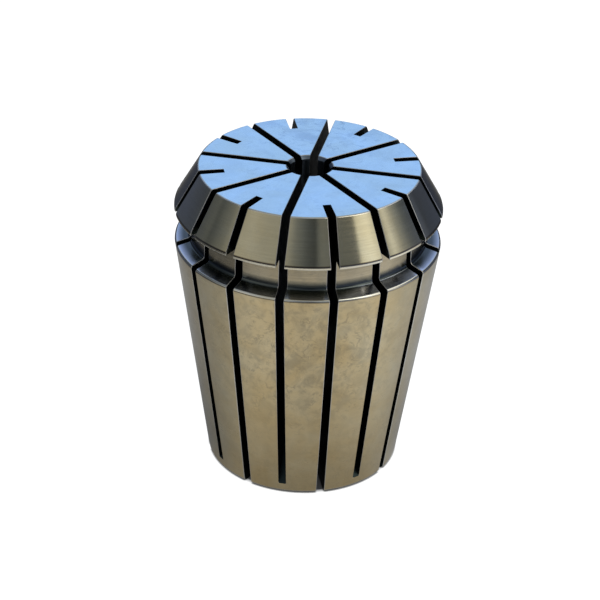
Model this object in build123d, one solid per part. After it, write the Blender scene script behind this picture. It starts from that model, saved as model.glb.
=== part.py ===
from build123d import *
import math
import os

# Spring collet of the 33 mm ER size: one turned, ground and slotted piece of spring steel.
# Sizes are in millimetres and degrees. The origin is the centre of the rear face, +Z runs
# along the bore to the front face, and one of the slots cut from the front lies on +X.

# Turned outside
overall_length = 40.0
gauge_diameter = 33.0  # widest point of the seating taper
taper_half_angle = 8.0
face_diameter = 27.2
nose_diameter = 33.0
nose_half_angle = 30.0
nose_land = 0.4  # cylinder between the nose cone and the groove
nose_edge_break = 0.12
groove_depth = 1.9  # below the gauge diameter
groove_width = 3.6  # along the groove's floor, before its corner is filleted
groove_flank_angle = 17.0  # from square to the axis
groove_fillet = 0.45
shoulder_radius = 0.35
rear_chamfer = 0.3

# Bores
bore_diameter = 5.0
clamping_length = 20.0  # front face to the end of the clamping bore
bore_chamfer = 0.4
relief_diameter = 9.0
relief_point_angle = 118.0  # left by the drill at the end of the relief
relief_chamfer = 0.4

# Slots, cut by one slitting saw fed along the axis, alternately from the front and the rear
slots_per_end = 8
slot_width = 1.0
saw_diameter = 63.0
front_slot_web = 1.35  # rear face to the front slots' closed end, on the seating taper
front_slot_overrun = 1.0  # how far past the clamping bore's end the front slots split its wall
rear_slot_web = 0.8  # steel left between the bore's wall and the rear slots
rear_slot_runout_diameter = 21.0  # where the rear slots leave the front face

# Heights from the rear face, and radii, that follow from the sizes above
gauge_radius = gauge_diameter / 2
face_radius = face_diameter / 2
nose_radius = nose_diameter / 2
groove_radius = gauge_radius - groove_depth
bore_radius = bore_diameter / 2
relief_radius = relief_diameter / 2
saw_radius = saw_diameter / 2
taper_slope = math.tan(math.radians(taper_half_angle))
nose_length = (nose_radius - face_radius) / math.tan(math.radians(nose_half_angle))
land_top = overall_length - nose_length
groove_top = land_top - nose_land
groove_bottom = groove_top - groove_width
flank_drop = groove_depth * math.tan(math.radians(groove_flank_angle))
shoulder_height = groove_bottom - flank_drop
rear_radius = gauge_radius - taper_slope * shoulder_height
bore_end = overall_length - clamping_length
relief_point = (relief_radius - bore_radius) / math.tan(math.radians(relief_point_angle / 2))

# Half section, as radius and height, anticlockwise from the relief's mouth
relief_mouth = (relief_radius, 0)
rear_edge = (rear_radius, 0)
shoulder = (gauge_radius, shoulder_height)
groove_corner = (groove_radius, groove_bottom)
nose_edge = (nose_radius, land_top)
bore_mouth = (bore_radius, overall_length)
half_section = [
    relief_mouth,
    rear_edge,
    shoulder,
    groove_corner,
    (groove_radius, groove_top),
    (nose_radius, groove_top),
    nose_edge,
    (face_radius, overall_length),
    bore_mouth,
    (bore_radius, bore_end),
    (relief_radius, bore_end - relief_point),
]


def turned_blank():
    """The collet as it leaves the lathe and grinder, before its slots are cut."""

    def corner(point):
        return section.vertices().sort_by_distance(Vector(point[0], point[1]))[0]

    with BuildSketch() as section:
        with BuildLine():
            Polyline(*half_section, close=True)
        make_face()
        fillet(corner(groove_corner), groove_fillet)
        fillet(corner(shoulder), shoulder_radius)
        chamfer(corner(nose_edge), nose_edge_break)
        chamfer(corner(rear_edge), rear_chamfer)
        chamfer(corner(bore_mouth), bore_chamfer)
        chamfer(corner(relief_mouth), relief_chamfer)
    return revolve(Plane.XZ * section.sketch, Axis.Z)


def saw_kerf(saw_centre, feed_start):
    """One slot on +X: the saw's disc where its feed stops, and the path that led it there."""
    centre_radius, stop_height = saw_centre
    with BuildPart() as kerf:
        with BuildSketch(Plane.XZ):
            with Locations(saw_centre):
                Circle(saw_radius)
            with Locations((centre_radius, (stop_height + feed_start) / 2)):
                Rectangle(saw_diameter, abs(stop_height - feed_start))
        extrude(amount=slot_width / 2, both=True)
    return kerf.part


def front_slot():
    """Splits the whole clamping bore, and ends just short of the rear face."""
    web_edge = Vector(rear_radius + taper_slope * front_slot_web, front_slot_web)
    bore_edge = Vector(bore_radius, bore_end - front_slot_overrun)
    half_chord = (bore_edge - web_edge) / 2
    outwards = Vector(half_chord.Y, -half_chord.X).normalized()
    saw_height = math.sqrt(saw_radius**2 - half_chord.length**2)
    saw_centre = web_edge + half_chord + outwards * saw_height
    return saw_kerf((saw_centre.X, saw_centre.Y), overall_length + saw_radius)


def rear_slot():
    """Splits the relief and the rim, and leaves a web of steel round the clamping bore."""
    centre_radius = bore_radius + rear_slot_web + saw_radius
    runout_reach = centre_radius - rear_slot_runout_diameter / 2
    stop_height = overall_length - math.sqrt(saw_radius**2 - runout_reach**2)
    return saw_kerf((centre_radius, stop_height), -saw_radius)


def slotted_collet():
    """The finished collet, with the two sets of slots half a pitch apart."""
    slot_pitch = 360 / slots_per_end
    with BuildPart() as collet:
        add(turned_blank())
        with PolarLocations(0, slots_per_end):
            add(front_slot(), mode=Mode.SUBTRACT)
        with PolarLocations(0, slots_per_end, start_angle=slot_pitch / 2):
            add(rear_slot(), mode=Mode.SUBTRACT)
    return collet.part


collet = slotted_collet()
collet.label = "collet"

os.makedirs("parts", exist_ok=True)
export_step(collet, "parts/collet.step")
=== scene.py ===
import math

import bmesh
import bpy
from mathutils import Matrix, Vector


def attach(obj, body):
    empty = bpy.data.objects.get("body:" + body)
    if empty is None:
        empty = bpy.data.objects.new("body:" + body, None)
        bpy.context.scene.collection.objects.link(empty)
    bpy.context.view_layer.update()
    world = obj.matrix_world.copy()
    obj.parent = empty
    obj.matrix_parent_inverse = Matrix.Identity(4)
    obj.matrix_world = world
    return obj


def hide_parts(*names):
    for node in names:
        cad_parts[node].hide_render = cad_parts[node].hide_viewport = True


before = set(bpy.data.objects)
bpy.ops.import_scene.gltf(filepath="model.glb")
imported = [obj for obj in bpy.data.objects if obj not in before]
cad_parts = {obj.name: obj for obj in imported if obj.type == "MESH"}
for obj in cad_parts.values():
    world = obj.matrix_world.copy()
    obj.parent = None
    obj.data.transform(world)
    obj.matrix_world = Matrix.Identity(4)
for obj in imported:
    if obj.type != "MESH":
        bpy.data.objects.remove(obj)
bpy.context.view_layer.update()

# Metres and radians. The collet stands on its rear face with the bore on Z, as in the frame.
MM = 0.001
DEG = math.radians(1)
AXIS = (0, 0, 0)

# The turned outside and the bores, as in the part
overall_length = 40.0 * MM
gauge_radius = 16.5 * MM
taper_half_angle = 8 * DEG
face_radius = 13.6 * MM
nose_radius = 16.5 * MM
nose_half_angle = 30 * DEG
nose_land = 0.4 * MM
nose_edge_break = 0.12 * MM
face_edge_break = 0.15 * MM
groove_depth = 1.9 * MM
groove_width = 3.6 * MM
groove_flank_angle = 17 * DEG
groove_fillet = 0.45 * MM
shoulder_round = 0.35 * MM
rear_chamfer = 0.3 * MM
bore_radius = 2.5 * MM
clamping_length = 20.0 * MM
mouth_chamfer = 0.4 * MM
relief_radius = 4.5 * MM
drill_point_half_angle = 59 * DEG

# The slots
slots_per_end = 8
slot_width = 1.0 * MM
saw_radius = 31.5 * MM
front_slot_web = 1.35 * MM
front_slot_overrun = 1.0 * MM
rear_slot_web = 0.8 * MM
rear_slot_runout_radius = 10.5 * MM

# What follows from them
groove_radius = gauge_radius - groove_depth
land_top = overall_length - (nose_radius - face_radius) / math.tan(nose_half_angle)
groove_top = land_top - nose_land
groove_bottom = groove_top - groove_width
shoulder_height = groove_bottom - groove_depth * math.tan(groove_flank_angle)
taper_slope = math.tan(taper_half_angle)
rear_radius = gauge_radius - taper_slope * shoulder_height
bore_end = overall_length - clamping_length
relief_end = bore_end - (relief_radius - bore_radius) / math.tan(drill_point_half_angle)

# How finely the curves are turned and sawn
turn_steps = 16 * slots_per_end  # so that no step of the turning falls beside a slot's edge
saw_steps = 360
round_steps = 6
same_place = 0.0005 * MM
close_by = 0.1 * MM
sliver = 0.04 * MM
flat_within = 0.2 * DEG
smooth_below = 22 * DEG
sharp_from = 25 * DEG
deburr_width = 0.07 * MM
deburr_steps = 2
deburr_from = 5.2 * MM  # off the axis, clear of the edges inside the bores

# Which way a face looks, as the part of its normal that points there
sideways_from = 0.5
downwards_from = 0.5
nose_within = 0.05
flank_from = 0.93
lip_from = 0.3


def start_clean():
    """Object mode with nothing selected, so that an operator acts only on what comes next."""
    if bpy.context.object and bpy.context.object.mode != "OBJECT":
        bpy.ops.object.mode_set(mode="OBJECT")
    bpy.ops.object.select_all(action="DESELECT")


def pick(piece):
    """Makes the piece the only one selected, and the active one."""
    start_clean()
    piece.select_set(True)
    bpy.context.view_layer.objects.active = piece


def select_edges(piece, wanted):
    """In edit mode, selects the edges that the test picks, and no others."""
    bpy.ops.mesh.select_mode(type="EDGE")
    bpy.ops.mesh.select_all(action="DESELECT")
    mesh = bmesh.from_edit_mesh(piece.data)
    for edge in mesh.edges:
        edge.select_set(wanted(edge))
    bmesh.update_edit_mesh(piece.data)


def off_axis(point):
    """How far a point is from the bore's axis."""
    return math.hypot(point.x, point.y)


def soften_ring(piece, radius, height, width, steps):
    """Bevels the ring of edges at one corner of the turned section."""

    def on_ring(edge):
        return all(
            abs(off_axis(v.co) - radius) < same_place and abs(v.co.z - height) < same_place
            for v in edge.verts
        )

    select_edges(piece, on_ring)
    bpy.ops.mesh.bevel(offset=width, segments=steps, affect="EDGES")


def turned_blank():
    """Turns the collet: a ring is drawn out from corner to corner round the half section."""
    outline = [
        (relief_radius, 0),
        (rear_radius, 0),
        (gauge_radius, shoulder_height),
        (groove_radius, groove_bottom),
        (groove_radius, groove_top),
        (nose_radius, groove_top),
        (nose_radius, land_top),
        (face_radius, overall_length),
        (bore_radius, overall_length),
        (bore_radius, bore_end),
        (relief_radius, relief_end),
    ]
    start_clean()
    half_step = math.pi / turn_steps
    bpy.ops.mesh.primitive_circle_add(
        vertices=turn_steps, radius=relief_radius, rotation=(0, 0, half_step)
    )
    blank = bpy.context.object
    blank.name = "ground_collet"
    bpy.ops.object.transform_apply(location=True, rotation=True, scale=True)
    bpy.ops.object.mode_set(mode="EDIT")
    for here, there in zip(outline, outline[1:] + outline[:1]):
        growth = there[0] / here[0]
        bpy.ops.mesh.extrude_region_move(TRANSFORM_OT_translate={"value": (0, 0, there[1] - here[1])})
        bpy.ops.transform.resize(value=(growth, growth, 1), center_override=AXIS)
    bpy.ops.mesh.select_all(action="SELECT")
    bpy.ops.mesh.remove_doubles(threshold=same_place)
    bpy.ops.mesh.normals_make_consistent(inside=False)

    # A round of radius r that turns through an angle reaches r * tan(angle / 2) along each side.
    cove_turn = math.pi / 2 - groove_flank_angle
    shoulder_turn = math.pi / 2 + taper_half_angle - groove_flank_angle
    cove_reach = groove_fillet * math.tan(cove_turn / 2)
    shoulder_reach = shoulder_round * math.tan(shoulder_turn / 2)
    soften_ring(blank, groove_radius, groove_bottom, cove_reach, round_steps)
    soften_ring(blank, gauge_radius, shoulder_height, shoulder_reach, round_steps)
    soften_ring(blank, nose_radius, land_top, nose_edge_break, 1)
    soften_ring(blank, face_radius, overall_length, face_edge_break, 2)
    soften_ring(blank, rear_radius, 0, rear_chamfer, 1)
    soften_ring(blank, bore_radius, overall_length, mouth_chamfer, 1)
    soften_ring(blank, relief_radius, 0, mouth_chamfer, 1)
    bpy.ops.object.mode_set(mode="OBJECT")
    return blank


def saw_path(centre_radius, stop_height, feed, first_angle):
    """The steel that the saw takes out for one set of slots: its disc, drawn out along the feed."""
    start_clean()
    bpy.ops.mesh.primitive_cylinder_add(
        vertices=saw_steps,
        radius=saw_radius,
        depth=slot_width,
        location=(centre_radius, 0, stop_height),
        rotation=(math.pi / 2, 0, 0),
    )
    saw = bpy.context.object
    bpy.ops.object.transform_apply(location=True, rotation=True, scale=True)
    for vertex in saw.data.vertices:
        if (vertex.co.z - stop_height) * feed > 0:
            vertex.co.z += feed
    pitch = 2 * math.pi / slots_per_end
    cuts = []
    for number in range(slots_per_end):
        cut = saw.copy()
        cut.data = saw.data.copy()
        cut.data.transform(Matrix.Rotation(first_angle + number * pitch, 4, "Z"))
        bpy.context.scene.collection.objects.link(cut)
        cuts.append(cut)
    bpy.data.objects.remove(saw)
    return cuts


def cut_slots(blank):
    """Takes both sets of slots out of the blank."""
    web_edge = Vector((rear_radius + taper_slope * front_slot_web, front_slot_web))
    bore_edge = Vector((bore_radius, bore_end - front_slot_overrun))
    half_chord = (bore_edge - web_edge) / 2
    outwards = Vector((half_chord.y, -half_chord.x)).normalized()
    saw_height = math.sqrt(saw_radius**2 - half_chord.length_squared)
    front_centre = web_edge + half_chord + outwards * saw_height
    rear_centre = bore_radius + rear_slot_web + saw_radius
    runout_reach = rear_centre - rear_slot_runout_radius
    rear_stop = overall_length - math.sqrt(saw_radius**2 - runout_reach**2)
    cuts = saw_path(front_centre.x, front_centre.y, overall_length, 0)
    cuts += saw_path(rear_centre, rear_stop, -overall_length, math.pi / slots_per_end)

    start_clean()
    for cut in cuts:
        cut.select_set(True)
    bpy.context.view_layer.objects.active = cuts[0]
    bpy.ops.object.join()
    cutter = bpy.context.object
    pick(blank)
    slotting = blank.modifiers.new("slots", "BOOLEAN")
    slotting.operation = "DIFFERENCE"
    slotting.solver = "EXACT"
    slotting.object = cutter
    bpy.ops.object.modifier_apply(modifier=slotting.name)
    bpy.data.objects.remove(cutter)
    bpy.ops.object.mode_set(mode="EDIT")
    bpy.ops.mesh.select_all(action="SELECT")
    bpy.ops.mesh.remove_doubles(threshold=sliver)
    bpy.ops.mesh.dissolve_limited(angle_limit=flat_within)
    bpy.ops.object.mode_set(mode="OBJECT")


def sideways(centre, normal):
    """How far a face looks round the axis, as a slot's walls do: 0 for what is turned, 1 for a wall."""
    return abs(centre.x * normal.y - centre.y * normal.x) / off_axis(centre)


def finish_of(face):
    """Says which of the collet's finishes a face has, by its place and by the way that it faces."""
    centre = face.center
    radius = off_axis(centre)
    upwards = face.normal.z
    if centre.z > overall_length - same_place:
        return "front_face"
    if centre.z < same_place:
        return "rear_face"
    if sideways(centre, face.normal) > sideways_from:
        return "slot_wall"
    if radius < relief_radius + close_by:
        return "bore"
    if centre.z > land_top - nose_edge_break and radius > face_radius - face_edge_break:
        lean = upwards - math.sin(nose_half_angle)
        if abs(lean) < nose_within:
            return "nose"
        return "lip" if lean > 0 else "break"
    if centre.z < shoulder_height - shoulder_round:
        return "taper" if upwards < 0 else "slot_wall"
    if radius < groove_radius - close_by:
        return "slot_wall"
    if centre.z > groove_top + same_place:
        return "land"
    if upwards < -downwards_from:
        return "underside"
    if centre.z > groove_bottom or radius < groove_radius + close_by:
        return "turned"
    if radius > gauge_radius - 2 * shoulder_round and upwards < flank_from:
        return "lip" if upwards > lip_from else "taper"
    return "flank"


def give_finishes(piece, finishes):
    """Gives each face its finish, from a dictionary of materials by name."""
    names = list(finishes)
    for name in names:
        piece.data.materials.append(finishes[name])
    for face in piece.data.polygons:
        face.material_index = names.index(finish_of(face))


def deburr(piece, edge_material):
    """Breaks the sharp outward edges, as a deburring wheel does, so that they catch the light."""
    piece.data.materials.append(edge_material)
    pick(piece)
    bpy.ops.object.mode_set(mode="EDIT")
    slots = piece.data.materials.find("sawn_slot_painted_shade")

    def is_root(face):
        """The closed end of a slot, which keeps its edge as sawn."""
        centre = face.calc_center_median()
        return face.material_index == slots and sideways(centre, face.normal) < sideways_from

    def sharp_and_outward(edge):
        if len(edge.link_faces) != 2 or edge.calc_face_angle_signed(0) < sharp_from:
            return False
        if any(is_root(face) for face in edge.link_faces):
            return False
        return all(
            off_axis(v.co) > deburr_from or v.co.z > overall_length - same_place for v in edge.verts
        )

    select_edges(piece, sharp_and_outward)
    bpy.ops.mesh.bevel(
        offset=deburr_width,
        segments=deburr_steps,
        affect="EDGES",
        clamp_overlap=False,
        material=len(piece.data.materials) - 1,
    )
    bpy.ops.object.mode_set(mode="OBJECT")
    bpy.ops.object.shade_smooth_by_angle(angle=smooth_below)
    flattening = piece.modifiers.new("flat_faces_stay_flat", "WEIGHTED_NORMAL")
    flattening.keep_sharp = True
    flattening.weight = 100  # by area alone, so that a bevel doesn't tilt the wide face beside it
    bpy.ops.object.modifier_apply(modifier=flattening.name)


# Finishes. The film of dried oil lies thickest round one smear on the taper and one on the face:
# where its middle is, and how far from there it thins out.
taper_smear = ((3.0 * MM, -15.2 * MM, 22.0 * MM), (6 * MM, 13 * MM))
# The face's smear sits on its far side, so its darkening there is also painted shade on the far rim
face_smear_and_painted_shade = ((0.5 * MM, 11.0 * MM, 40.0 * MM), (3 * MM, 12 * MM))
film_elsewhere = 0.34
film_tint = (0.96, 1.005, 1.11)
film_dulling = 0.07
blot_strength = 0.6
ring_strength = 0.85
ring_level = 0.5  # of the noise, whose contour there is the ring's line
ring_width = 0.055
ring_share = 0.7  # of a blot's size
ring_gaps = 1.2  # millimetres
cloud_size = 5.0  # millimetres
quarter_turn = 0.25  # of the highlight, so that it smears across the lines
wide_noise = (0.3, 0.7)
blot_noise = (0.46, 0.64)
gap_noise = (0.42, 0.58)

# Painted shade that darkens the groove's corner, and the side on which the flank is painted lighter
corner_shade_colour = (0.078, 0.090, 0.083)
corner_shade_fade = 1.6
painted_light_side = (0.755, -0.656, 0.0)
painted_light_spread = (0.92, 0.995)


class Nodes:
    """A material's node tree, with short words for the nodes that the finishes use."""

    def __init__(self, tree):
        self.tree = tree

    def add(self, kind, inputs=None, **settings):
        node = self.tree.nodes.new(kind)
        for name, value in settings.items():
            setattr(node, name, value)
        for name, value in (inputs or {}).items():
            if isinstance(value, bpy.types.NodeSocket):
                self.tree.links.new(value, node.inputs[name])
            else:
                node.inputs[name].default_value = value
        return node

    def math(self, operation, first, second=0.0):
        return self.add("ShaderNodeMath", {0: first, 1: second}, operation=operation).outputs[0]

    def vector(self, operation, first, second=(0, 0, 0)):
        return self.add("ShaderNodeVectorMath", {0: first, 1: second}, operation=operation).outputs[0]

    def measure(self, operation, first, second=(0, 0, 0)):
        """What a vector operation gives as a number: a length, a distance or a dot product."""
        node = self.add("ShaderNodeVectorMath", {0: first, 1: second}, operation=operation)
        return node.outputs["Value"]

    def scale(self, colour, factor):
        node = self.add("ShaderNodeVectorMath", {0: colour, "Scale": factor}, operation="SCALE")
        return node.outputs[0]

    def spread(self, value, low, high, to_low=0.0, to_high=1.0):
        """Maps low..high to to_low..to_high, held at its ends."""
        limits = {"Value": value, "From Min": low, "From Max": high, "To Min": to_low, "To Max": to_high}
        return self.add("ShaderNodeMapRange", limits).outputs[0]

    def noise(self, place, detail=3.0, roughness=0.55, distortion=0.0):
        settings = {
            "Vector": place,
            "Scale": 1.0,
            "Detail": detail,
            "Roughness": roughness,
            "Distortion": distortion,
        }
        return self.add("ShaderNodeTexNoise", settings).outputs[0]

    def mix(self, factor, first, second):
        node = self.add("ShaderNodeMix", data_type="RGBA")
        for socket, value in ((0, factor), (6, first), (7, second)):
            if isinstance(value, bpy.types.NodeSocket):
                self.tree.links.new(value, node.inputs[socket])
            elif socket == 0:
                node.inputs[0].default_value = value
            else:
                node.inputs[socket].default_value = (*value, 1)
        return node.outputs[2]

    def drive(self, shader, name, value):
        self.tree.links.new(value, shader.inputs[name])


def round_the_axis(nodes, place):
    """Where a place lies round the axis: its direction, its distance from the axis and its height."""
    flat = nodes.vector("MULTIPLY", place, (1, 1, 0))
    radius = nodes.measure("LENGTH", flat)
    height = nodes.add("ShaderNodeSeparateXYZ", {0: place}).outputs["Z"]
    return nodes.vector("NORMALIZE", flat), radius, height


def cutting_lines(nodes, direction, radius, height, pitch, arc):
    """A pattern that changes fast along the section and slowly round the axis, as a tool cuts it."""
    step = nodes.math("MULTIPLY", nodes.math("SUBTRACT", height, radius), 1 / (pitch * MM))
    turns = nodes.vector("MULTIPLY", direction, (gauge_radius / (arc * MM),) * 2 + (0,))
    lift = nodes.add("ShaderNodeCombineXYZ", {"Z": step}).outputs[0]
    return nodes.noise(nodes.vector("ADD", turns, lift), detail=4.0, roughness=0.7)


def patches(nodes, place, size, **noise):
    """Soft patches of about the given size in millimetres."""
    return nodes.noise(nodes.vector("MULTIPLY", place, (1 / (size * MM),) * 3), **noise)


def oil_film(nodes, place, size, smear):
    """A film that dried in patches with thin dark edges, most of it round one smear."""
    middle, thinning = smear
    smeared = nodes.spread(nodes.measure("DISTANCE", place, middle), *thinning, 1.0, film_elsewhere)
    blots = patches(nodes, place, size, detail=6.0, roughness=0.65, distortion=0.6)
    blots = nodes.math("MULTIPLY", nodes.spread(blots, *blot_noise), blot_strength)
    ring = patches(nodes, place, ring_share * size, detail=5.0, roughness=0.6, distortion=0.8)
    off_line = nodes.math("ABSOLUTE", nodes.math("SUBTRACT", ring, ring_level))
    rings = nodes.spread(off_line, 0.0, ring_width, ring_strength, 0.0)
    broken = nodes.spread(patches(nodes, place, ring_gaps, detail=3.0), *gap_noise)
    film = nodes.math("MAXIMUM", blots, nodes.math("MULTIPLY", rings, broken))
    return nodes.math("MULTIPLY", film, smeared)


def clear_of_corner_shade(nodes, direction, radius, height, thinning, painted_light_width):
    """How clear a place is of the painted shade that darkens the groove's corner and fades out from it.
    """
    out = nodes.math("SUBTRACT", radius, groove_radius)
    up = nodes.math("SUBTRACT", height, groove_bottom)
    corner = nodes.add("ShaderNodeCombineXYZ", {"X": out, "Y": up}).outputs[0]
    away = nodes.measure("LENGTH", corner)
    # Painted light: the flank's painted shade is pushed back on one side, so that side is lighter
    if painted_light_width:
        toward_painted_light = nodes.measure("DOT_PRODUCT", direction, painted_light_side)
        away = nodes.math("ADD", away, nodes.spread(toward_painted_light, *painted_light_spread, 0.0, painted_light_width))
    return nodes.math("POWER", nodes.spread(away, *thinning), corner_shade_fade)


def steel(
    name,
    colour,
    roughness,
    stain=0.4,
    stain_size=2.2,
    smear=taper_smear,
    tone=0.05,
    pitch=0.25,
    arc=5.0,
    depth=0.002,
    line_tint=0.05,
    line_roughness=0.04,
    anisotropic=0.0,
    corner_shade=None,
    painted_light_width=0.0,
):
    """Bright steel with lines round the axis from its last cut, a thin film of dried oil, and, where
    asked, painted shade towards the groove's corner.

    The lines' pitch, arc and depth and the stains' size are in millimetres. stain, tone and
    line_tint are how far the film, the cloudy patches and the lines change the colour.
    """
    material = bpy.data.materials.new(name)
    material.use_nodes = True
    nodes = Nodes(material.node_tree)
    shader = material.node_tree.nodes["Principled BSDF"]
    place = nodes.add("ShaderNodeTexCoord").outputs["Object"]
    direction, radius, height = round_the_axis(nodes, place)
    lines = cutting_lines(nodes, direction, radius, height, pitch, arc)
    film = oil_film(nodes, place, stain_size, smear)
    cloud = patches(nodes, place, cloud_size, detail=3.0, distortion=0.5)

    shade = nodes.spread(lines, *wide_noise, 1 - line_tint, 1 + line_tint)
    shade = nodes.math("MULTIPLY", shade, nodes.spread(cloud, *wide_noise, 1 - tone, 1 + tone))
    shade = nodes.math("MULTIPLY", shade, nodes.spread(film, 0.0, 1.0, 1.0, 1 - stain))
    warm = (1 + tone / 2, 1, 1 - tone)
    cool = (1 - tone / 2, 1, 1 + tone)
    shaded = nodes.scale(colour, shade)
    shaded = nodes.vector("MULTIPLY", shaded, nodes.mix(nodes.spread(cloud, *wide_noise), warm, cool))
    shaded = nodes.vector("MULTIPLY", shaded, nodes.mix(film, (1, 1, 1), film_tint))
    # Painted shade: darker towards the groove's corner, where its hollow is shaded
    if corner_shade:
        clear = clear_of_corner_shade(nodes, direction, radius, height, corner_shade, painted_light_width)
        shaded = nodes.mix(clear, corner_shade_colour, shaded)
    nodes.drive(shader, "Base Color", shaded)

    rough = nodes.spread(lines, *wide_noise, roughness - line_roughness, roughness + line_roughness)
    rough = nodes.math("ADD", rough, nodes.math("MULTIPLY", film, film_dulling))
    nodes.drive(shader, "Roughness", rough)
    bump = nodes.add("ShaderNodeBump", {"Height": lines, "Strength": 1.0, "Distance": depth * MM})
    nodes.drive(shader, "Normal", bump.outputs[0])
    shader.inputs["Metallic"].default_value = 1.0
    if anisotropic:
        shader.inputs["Anisotropic"].default_value = anisotropic
        shader.inputs["Anisotropic Rotation"].default_value = quarter_turn
        round_axis = nodes.add("ShaderNodeTangent", direction_type="RADIAL", axis="Z")
        nodes.drive(shader, "Tangent", round_axis.outputs[0])
    return material


def collet_finishes():
    """The finish of each surface, under the name that finish_of gives it."""
    # The warm tan of the taper, nose, groove and rear face and the flank's cool tint are painted
    # reflection of the warm table and the blue sky, laid over the steel's grey
    taper = steel(
        "ground_taper", (0.470, 0.378, 0.215), 0.30,
        stain=0.39, stain_size=2.0, tone=0.08, depth=0.001, line_tint=0.02, anisotropic=0.4,
    )
    nose = steel(
        "ground_nose", (0.52, 0.47, 0.31), 0.14,
        stain=0.15, pitch=0.22, depth=0.0008, line_tint=0.07, line_roughness=0.015, anisotropic=0.97,
    )
    front_face = steel(
        "ground_face", (0.77, 0.775, 0.80), 0.20,
        stain=0.34, stain_size=3.2, smear=face_smear_and_painted_shade, depth=0.0006, line_tint=0.02, anisotropic=0.3,
    )
    turned = steel(
        "turned_groove", (0.45, 0.385, 0.26), 0.18,
        pitch=0.3, arc=14.0, depth=0.004, line_tint=0.12, anisotropic=0.6,
        # painted shade, darker down the groove's floor towards its corner
        corner_shade=(0.22 * MM, 1.15 * MM),
    )
    flank = steel(
        "turned_flank", (0.68, 0.70, 0.74), 0.19,
        stain=0.1, pitch=0.3, arc=14.0, depth=0.001, line_tint=0.12, anisotropic=0.4,
        # painted shade towards the groove's corner, with one side of the flank painted lighter
        corner_shade=(0.7 * MM, 1.8 * MM), painted_light_width=1.2 * MM,
    )
    return {
        "taper": taper,
        "nose": nose,
        # Painted shade under the nose's overhang: a darker copy of the steel
        "underside": steel("groove_underside_painted_shade", (0.30, 0.30, 0.28), 0.30, stain=0.1),
        # Painted highlight: the land is a far lighter copy of the nose's steel
        "land": steel("ground_land_painted_highlight", (0.96, 0.89, 0.68), 0.20, stain=0.1),
        # Painted dark reflection: the edge break is a dark copy of the steel, showing the dark horizon
        "break": steel("edge_break", (0.22, 0.18, 0.11), 0.12, stain=0.0),
        # Polished, and lighter than the taper: a painted highlight on the rounded edge
        "lip": steel("polished_lip_and_painted_highlight", (0.68, 0.65, 0.53), 0.16, stain=0.0),
        "front_face": front_face,
        "rear_face": steel("ground_rear_face", (0.50, 0.45, 0.36), 0.3),
        "turned": turned,
        "flank": flank,
        # Painted shade: the slots' steel walls are made near black for the shade deep inside them
        "slot_wall": steel("sawn_slot_painted_shade", (0.024, 0.034, 0.032), 0.36),
        # Painted shade: the bore is made dark for the shade inside the hole
        "bore": steel("reamed_bore_painted_shade", (0.13, 0.155, 0.175), 0.36),
    }


def edge_finish():
    """The finish of the edges that the deburring wheel has broken, lighter than the steel beside them as
    a painted highlight.
    """
    return steel("deburred_edge_painted_highlight", (0.58, 0.56, 0.49), 0.38, stain=0.2)


def build_collet():
    collet = turned_blank()
    cut_slots(collet)
    give_finishes(collet, collet_finishes())
    deburr(collet, edge_finish())
    return collet


collet = build_collet()
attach(collet, "root")
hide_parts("collet")

# Camera: a product view from the front, looking down at about thirty degrees.
view_turn = 10.93 * DEG
camera_reach = 216.26 * MM
camera_height = 146.86 * MM
camera_pitch = 30.19 * DEG
camera_yaw = -0.20 * DEG
camera_roll = 1.51 * DEG
camera_lens = 118.91


def place_camera():
    """Stands the camera off at its height and turns it down to the collet."""
    camera_data = bpy.data.cameras.new("camera")
    camera = bpy.data.objects.new("camera", camera_data)
    bpy.context.scene.collection.objects.link(camera)
    camera_data.lens = camera_lens
    camera_data.clip_start = 10 * MM
    camera.matrix_world = (
        Matrix.Rotation(view_turn, 4, "Z")
        @ Matrix.Translation((0, -camera_reach, camera_height))
        @ Matrix.Rotation(-camera_yaw, 4, "Z")
        @ Matrix.Rotation(math.pi / 2 - camera_pitch, 4, "X")
        @ Matrix.Rotation(camera_roll, 4, "Z")
    )
    bpy.context.scene.camera = camera


# The set: a white table in a plain room, under a pale sky
table_radius = 600 * MM
table_drop = 0.01 * MM
table_white = 0.9
table_diffuse = 0.25
table_in_steel = (54 * MM, 72 * MM)  # the steel shows the table to here, and the room beyond
under_collet = (15 * MM, 29 * MM)  # the shadow of the collet's overhang, which the steel shows
under_levels = (0.35, 0.70)
beside_collet = (29 * MM, 52 * MM)  # and its thinner rim
beside_levels = (1.0, 1.40)
table_sides = (35 * DEG, 85 * DEG)  # where the light on the table turns cooler
contact_reach = 0.30 * MM
contact_openness = (0.35, 0.92)
contact_level = 0.10
slot_shade = 0.7 * MM  # how far inside the rear edge the table goes dark, as seen in the slots
slot_level = 0.02

# The lamp, placed from the camera's side
lamp_place = (360 * MM, -260 * MM, 550 * MM)
lamp_size = 300 * MM
lamp_watts = 0.3
lamp_colour = (1.0, 0.96, 0.88)

# Colours of the sky and the ceiling, and the tints of the haze, the dim walls and the side light
sky_colour = (0.405, 0.69, 1.10)
pale_sky = (0.46, 0.58, 0.90)
ceiling = (0.42, 0.42, 0.40)
slate = (0.80, 1.00, 1.80)
dusk = (0.86, 1.00, 1.25)
cool_light = (0.93, 1.01, 1.15)

# Where the room changes. Bearings are from the camera's side, and heights are above the horizon.
walls_fall = (122 * DEG, 146 * DEG)
wall_tops = (58 * DEG, 14 * DEG)
sky_turns_blue = (158 * DEG, 170 * DEG)
overcast_from = (56 * DEG, 68 * DEG)
sill_turn = (35 * DEG, 85 * DEG)
sill_heights = (50 * DEG, 35 * DEG)
dim_walls = (0.10, 0.50)

# The same as sines of the height: the haze's fade upwards, the floor's fade up to the haze, and
# the soft edges of the walls' tops and the sill
haze_heights = (0.08, 0.20)
floor_heights = (-0.36, -0.18)
soft_edge = 0.08

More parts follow.
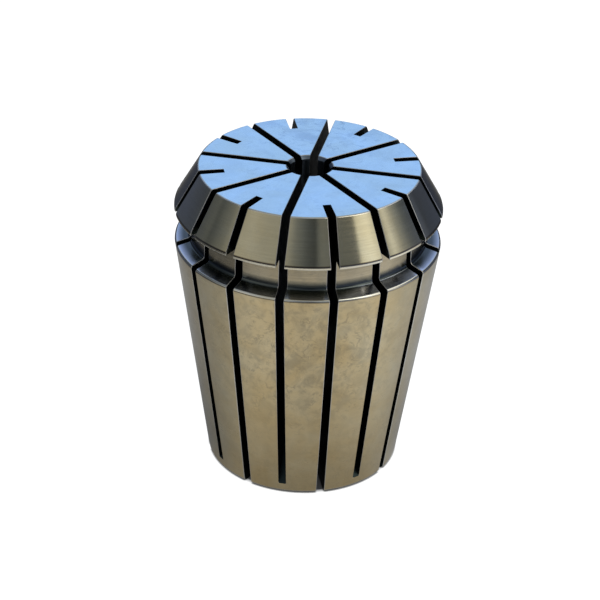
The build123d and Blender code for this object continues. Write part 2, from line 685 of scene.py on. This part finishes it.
# Grey levels by bearing in degrees from the camera's side: the light on the table, the room's
# walls, the windows above them, the haze at the horizon, and the floor beyond the table.
table_light = [
    (-180, 0.45), (-113, 0.40), (-85, 0.51), (-66, 0.71), (-50, 1.00), (-36, 1.14), (-22, 1.04),
    (0, 1.00), (20, 1.03), (32, 1.08), (50, 1.20), (66, 1.26), (80, 1.05), (95, 0.85), (125, 0.62),
    (150, 0.45), (180, 0.45),
]
walls = [
    (-180, 0.07), (-118, 0.07), (-104, 0.14), (-94, 0.18), (-90, 0.12), (-85, 0.18), (-76, 0.28),
    (-70, 0.47), (-57, 0.60), (-40, 0.49), (-28, 0.47), (-17, 0.45), (-11, 0.26), (0, 0.125), (7, 0.08),
    (12, 0.25), (22, 0.22), (45, 0.13), (47, 1.00), (58, 1.38), (64, 1.05), (69, 0.40), (72, 0.36),
    (77, 1.10), (85, 0.48), (95, 0.17), (102, 0.07), (180, 0.06),
]
windows = [(-180, 0.25), (-40, 0.16), (8, 0.18), (30, 1.40), (125, 1.40), (150, 0.50), (180, 0.40)]
horizon = [
    (-180, 0.05), (-148, 0.06), (-136, 0.11), (-100, 0.10), (-85, 0.065), (10, 0.065), (35, 0.30),
    (105, 0.30), (118, 0.085), (136, 0.09), (146, 0.055), (156, 0.055), (170, 0.03), (180, 0.03),
]
floor_beyond = [
    (-180, 0.38), (-172, 0.11), (-166, 0.19), (-160, 0.09), (-115, 0.04), (-72, 0.08), (-56, 0.38),
    (0, 0.52), (50, 0.62), (84, 0.80), (104, 0.50), (122, 0.04), (152, 0.06), (164, 0.11), (173, 0.38),
    (180, 0.44),
]


def sines(heights):
    """Heights as a direction's Z gives them."""
    return [math.sin(height) for height in heights]


def by_bearing(nodes, bearing, levels):
    """A grey level that changes with the bearing, as the list says."""
    ramp = nodes.add("ShaderNodeValToRGB", {"Fac": nodes.spread(bearing, -math.pi, math.pi)})
    stops = ramp.color_ramp.elements
    for _ in levels[2:]:  # a ramp has two stops to begin with
        stops.new(0.5)
    for stop, (degrees, level) in zip(stops, levels):
        stop.position = degrees / 360 + 0.5
        stop.color = (level, level, level, 1)
    return ramp.outputs[0]


def from_camera_side(nodes, place):
    """The height of a place or direction, and its bearing from the camera's side of the axis."""
    turn = {"Vector": place, "Angle": -view_turn}
    turned = nodes.add("ShaderNodeVectorRotate", turn, rotation_type="Z_AXIS")
    parts = nodes.add("ShaderNodeSeparateXYZ", {0: turned.outputs[0]}).outputs
    return parts["Z"], nodes.math("ARCTAN2", parts["X"], nodes.math("MULTIPLY", parts["Y"], -1.0))


def make_table():
    """White to the camera and in the steel. It keeps the shadow, and is see-through from below."""
    start_clean()
    bpy.ops.mesh.primitive_circle_add(
        vertices=96, radius=table_radius, fill_type="NGON", location=(0, 0, -table_drop)
    )
    table = bpy.context.object
    table.name = "table"
    material = bpy.data.materials.new("white_table")
    material.use_nodes = True
    nodes = Nodes(material.node_tree)
    nodes.tree.nodes.remove(nodes.tree.nodes["Principled BSDF"])
    place = nodes.add("ShaderNodeTexCoord").outputs["Object"]
    radius = round_the_axis(nodes, place)[1]
    bearing = from_camera_side(nodes, place)[1]
    path = nodes.add("ShaderNodeLightPath").outputs
    in_steel = path["Is Glossy Ray"]
    seen = nodes.math("MAXIMUM", path["Is Camera Ray"], path["Is Transmission Ray"])

    # In the steel: dimmer under the overhang, and by bearing as the room lights it, cooler at the sides
    side = nodes.spread(nodes.math("ABSOLUTE", bearing), *table_sides)
    tint = nodes.mix(side, (1, 1, 1), cool_light)
    lit = nodes.vector("MULTIPLY", by_bearing(nodes, bearing, table_light), tint)
    broad = nodes.spread(radius, *under_collet, *under_levels)
    broad = nodes.math("MULTIPLY", broad, nodes.spread(radius, *beside_collet, *beside_levels))
    colour = nodes.mix(in_steel, (1, 1, 1), nodes.scale(lit, broad))
    level = nodes.math("MAXIMUM", seen, nodes.math("MULTIPLY", in_steel, table_white))

    # At the collet's edge: a tight shadow, and the dark inside its slots
    contact = nodes.add("ShaderNodeAmbientOcclusion", {"Distance": contact_reach}, samples=8)
    tight = nodes.spread(contact.outputs["AO"], *contact_openness, contact_level, 1.0)
    inside = nodes.spread(radius, rear_radius - slot_shade, rear_radius, slot_level, 1.0)
    level = nodes.math("MULTIPLY", level, nodes.math("MULTIPLY", tight, inside))
    glow = nodes.add("ShaderNodeEmission", {"Color": colour, "Strength": level})
    matt = nodes.add("ShaderNodeBsdfDiffuse", {"Color": (table_diffuse,) * 3 + (1,)})
    white = nodes.add("ShaderNodeAddShader", {0: glow.outputs[0], 1: matt.outputs[0]})

    # See-through from below, and in the steel past its edge, where the room begins
    past_edge = nodes.math("MULTIPLY", in_steel, nodes.spread(radius, *table_in_steel))
    from_below = nodes.add("ShaderNodeNewGeometry").outputs["Backfacing"]
    clear = nodes.add("ShaderNodeBsdfTransparent")
    unseen = nodes.math("MAXIMUM", past_edge, from_below)
    surface = nodes.add("ShaderNodeMixShader", {0: unseen, 1: white.outputs[0], 2: clear.outputs[0]})
    nodes.drive(nodes.tree.nodes["Material Output"], "Surface", surface.outputs[0])
    table.data.materials.append(material)


def make_room():
    """Sky above, windows and walls round the camera, a dark horizon, and floor beyond the table."""
    world = bpy.data.worlds.new("room")
    world.use_nodes = True
    nodes = Nodes(world.node_tree)
    outwards = nodes.add("ShaderNodeTexCoord").outputs["Generated"]
    height, bearing = from_camera_side(nodes, outwards)

    # The walls reach high on the camera's side and only to the horizon's haze behind the collet,
    # where the sky is blue in the middle, pale beside that, and covered overhead.
    aside = nodes.math("ABSOLUTE", bearing)
    behind = nodes.spread(aside, *walls_fall)
    wall_top = nodes.spread(behind, 0, 1, *sines(wall_tops))
    sky = nodes.mix(nodes.spread(aside, *sky_turns_blue), pale_sky, sky_colour)
    sky = nodes.mix(nodes.spread(height, *sines(overcast_from)), sky, ceiling)
    above = nodes.spread(nodes.math("SUBTRACT", height, wall_top), -soft_edge, soft_edge)
    sill = nodes.spread(bearing, *sill_turn, *sines(sill_heights))
    over_sill = nodes.spread(nodes.math("SUBTRACT", height, sill), 0.0, soft_edge)
    wall = by_bearing(nodes, bearing, walls)
    wall = nodes.vector("MULTIPLY", wall, nodes.mix(nodes.spread(wall, *dim_walls), dusk, (1, 1, 1)))
    room = nodes.mix(over_sill, wall, by_bearing(nodes, bearing, windows))
    room = nodes.mix(above, room, sky)
    haze = nodes.vector("MULTIPLY", by_bearing(nodes, bearing, horizon), slate)
    room = nodes.mix(nodes.spread(height, *haze_heights), haze, room)
    on_floor = by_bearing(nodes, bearing, floor_beyond)
    room = nodes.mix(nodes.spread(height, *floor_heights), on_floor, room)
    camera_ray = nodes.add("ShaderNodeLightPath").outputs["Is Camera Ray"]
    backdrop = nodes.mix(camera_ray, room, (1, 1, 1))
    nodes.drive(nodes.tree.nodes["Background"], "Color", backdrop)
    bpy.context.scene.world = world


def hang_key_lamp():
    """A large soft lamp high on the right, for the soft shadow on the table."""
    lamp = bpy.data.lights.new("key", "AREA")
    lamp.shape = "DISK"
    lamp.size = lamp_size
    lamp.energy = lamp_watts
    lamp.color = lamp_colour
    holder = bpy.data.objects.new("key", lamp)
    stand = Matrix.Rotation(view_turn, 4, "Z") @ Vector(lamp_place)
    holder.location = stand
    holder.rotation_euler = stand.to_track_quat("Z", "Y").to_euler()
    bpy.context.scene.collection.objects.link(holder)


place_camera()
make_table()
make_room()
hang_key_lamp()
bpy.context.scene.view_settings.view_transform = "Standard"
